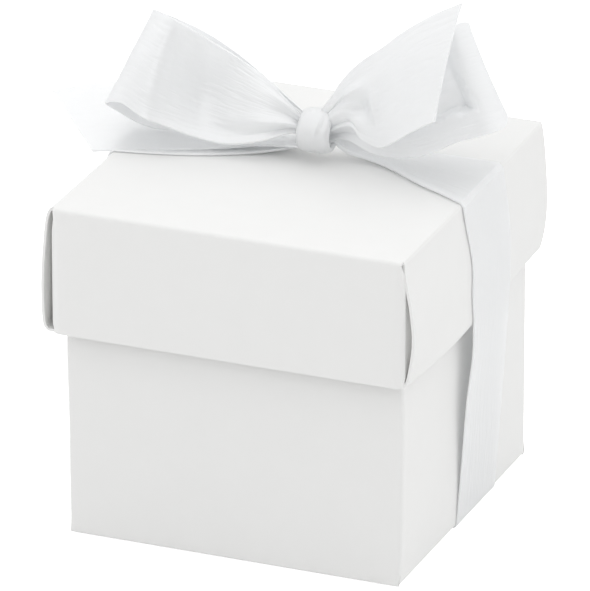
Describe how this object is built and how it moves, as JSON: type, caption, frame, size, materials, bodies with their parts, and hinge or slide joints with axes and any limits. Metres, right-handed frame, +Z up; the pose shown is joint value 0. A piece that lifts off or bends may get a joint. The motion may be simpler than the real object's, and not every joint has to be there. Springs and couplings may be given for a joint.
{
  "type": "favor box",
  "caption": "Small square card gift box with a lift-off lid, tied round with a satin ribbon and a bow on the lid.",
  "frame": {"origin": "on the surface the box stands on, below the middle of the base", "axes": "+Z up, the way the lid lifts; the front wall faces -Y; the ribbon runs round the box in the X-Z direction, with the loose tail of the bow at +X"},
  "size_m": [0.0682, 0.0548, 0.079],
  "materials": {
    "base_card": "matte white coated folding card",
    "lid_card": "matte white coated folding card",
    "ribbon_satin": "white single-face satin ribbon with a soft sheen"
  },
  "bodies": {
    "base": {"base_bottom": "base_card", "base_front_wall": "base_card", "base_back_wall": "base_card", "base_left_wall": "base_card", "base_right_wall": "base_card", "base_left_inner_wall": "base_card", "base_right_inner_wall": "base_card", "base_front_left_tab": "base_card", "base_front_right_tab": "base_card", "base_back_left_tab": "base_card", "base_back_right_tab": "base_card", "ribbon_under": "ribbon_satin", "ribbon_left_side": "ribbon_satin", "ribbon_right_side": "ribbon_satin"},
    "lid": {"lid_top": "lid_card", "lid_front_wall": "lid_card", "lid_back_wall": "lid_card", "lid_left_wall": "lid_card", "lid_right_wall": "lid_card", "lid_left_inner_wall": "lid_card", "lid_right_inner_wall": "lid_card", "lid_front_left_tab": "lid_card", "lid_front_right_tab": "lid_card", "lid_back_left_tab": "lid_card", "lid_back_right_tab": "lid_card", "ribbon_left_lid_side": "ribbon_satin", "ribbon_right_lid_side": "ribbon_satin", "ribbon_left_top": "ribbon_satin", "ribbon_right_top": "ribbon_satin", "bow_knot": "ribbon_satin", "left_loop_front": "ribbon_satin", "left_loop_back": "ribbon_satin", "right_loop_front": "ribbon_satin", "right_loop_back": "ribbon_satin", "left_tail": "ribbon_satin", "right_tail": "ribbon_satin"}
  },
  "joints": [
    {"name": "lid_lift", "type": "slide", "parent": "base", "child": "lid", "axis": [0, 0, 1], "range_m": [0, 0.04], "deforming": ["ribbon_left_side", "ribbon_right_side"]}
  ]
}
